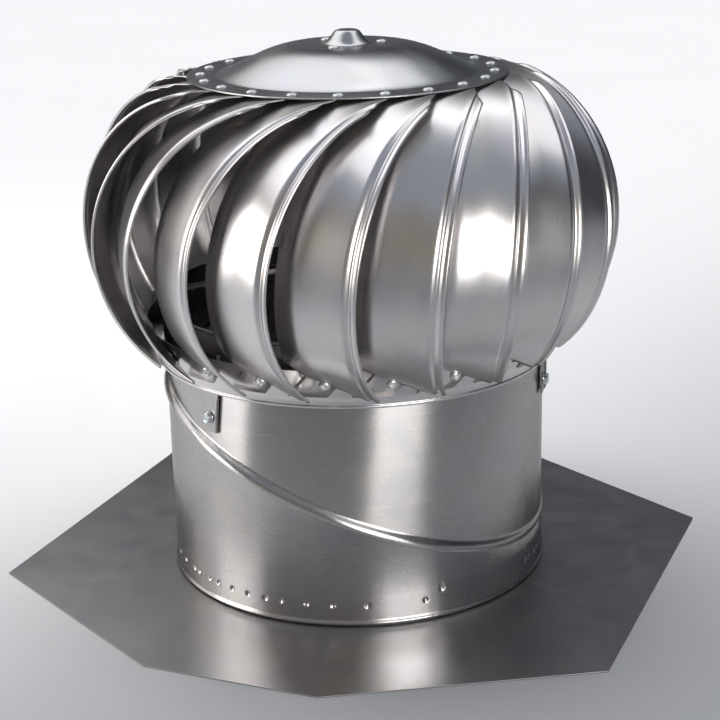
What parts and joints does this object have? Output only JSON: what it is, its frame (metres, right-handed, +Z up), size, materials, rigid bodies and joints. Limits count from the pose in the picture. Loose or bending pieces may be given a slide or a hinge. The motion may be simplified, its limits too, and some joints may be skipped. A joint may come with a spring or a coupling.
{
  "type": "turbine roof vent",
  "caption": "Wind-driven turbine ventilator: curved vanes between a domed cap and a bottom ring, turning on a base of two slanted swivel collars with a flat eight-sided roof flashing.",
  "frame": {"origin": "duct axis on the underside of the roof flashing, which is the middle of the bottom of the bounding box", "axes": "+Z up along the duct and the spin axis of the head, -Y toward the edge of the flashing that faces down a roof, X across the roof"},
  "size_m": [0.508, 0.508, 0.4355],
  "materials": {
    "flashing_sheet": "satin mill finish, handled",
    "collar_sheet": "satin mill finish",
    "vane_sheet": "bright mill finish",
    "cap_sheet": "satin mill finish",
    "ring_sheet": "satin mill finish",
    "clip_sheet": "satin mill finish",
    "brace_strip": "dull mill finish",
    "cast_tube": "dull cast finish",
    "rivet": "bright, set heads",
    "zinc_steel": "zinc plated",
    "bearing_steel": "ground"
  },
  "bodies": {
    "flashing": {"roof_flashing": "flashing_sheet"},
    "base": {"lower_collar": "collar_sheet"},
    "neck": {"upper_collar": "collar_sheet", "throat_ring": "collar_sheet", "head_clip_1": "clip_sheet", "head_clip_2": "clip_sheet", "head_clip_3": "clip_sheet", "clip_screws": "zinc_steel", "clip_rivets": "rivet", "brace_leg_1": "brace_strip", "brace_leg_2": "brace_strip", "brace_leg_3": "brace_strip", "lower_brace_1": "brace_strip", "lower_brace_2": "brace_strip", "lower_brace_3": "brace_strip", "bearing_tube": "cast_tube", "upper_bearing_outer_race": "bearing_steel", "lower_bearing_outer_race": "bearing_steel"},
    "head": {"turbine_cap": "cap_sheet", "rotor_hub": "cast_tube", "rotor_shaft": "bearing_steel", "spacer_collar": "bearing_steel", "upper_bearing_inner_race": "bearing_steel", "lower_bearing_inner_race": "bearing_steel", "shaft_nut": "zinc_steel", "rotor_ring": "ring_sheet", "cap_rivets": "rivet", "ring_rivets": "rivet", "hub_rivets": "rivet", "vane_01": "vane_sheet", "vane_02": "vane_sheet", "vane_03": "vane_sheet", "vane_04": "vane_sheet", "vane_05": "vane_sheet", "vane_06": "vane_sheet", "vane_07": "vane_sheet", "vane_08": "vane_sheet", "vane_09": "vane_sheet", "vane_10": "vane_sheet", "vane_11": "vane_sheet", "vane_12": "vane_sheet", "vane_13": "vane_sheet", "vane_14": "vane_sheet", "vane_15": "vane_sheet", "vane_16": "vane_sheet", "vane_17": "vane_sheet", "vane_18": "vane_sheet", "vane_19": "vane_sheet", "vane_20": "vane_sheet", "vane_21": "vane_sheet"}
  },
  "joints": [
    {"name": "collar_swivel", "type": "hinge", "parent": "flashing", "child": "base", "pos_m": [0, 0, 0.012], "axis": [0, 0, 1], "continuous": true},
    {"name": "pitch_swivel", "type": "hinge", "parent": "base", "child": "neck", "pos_m": [0, 0, 0.103], "axis": [0.379, 0.0533, 0.9239], "continuous": true},
    {"name": "head_spin", "type": "hinge", "parent": "neck", "child": "head", "pos_m": [0, 0, 0.3], "axis": [0, 0, 1], "continuous": true}
  ]
}
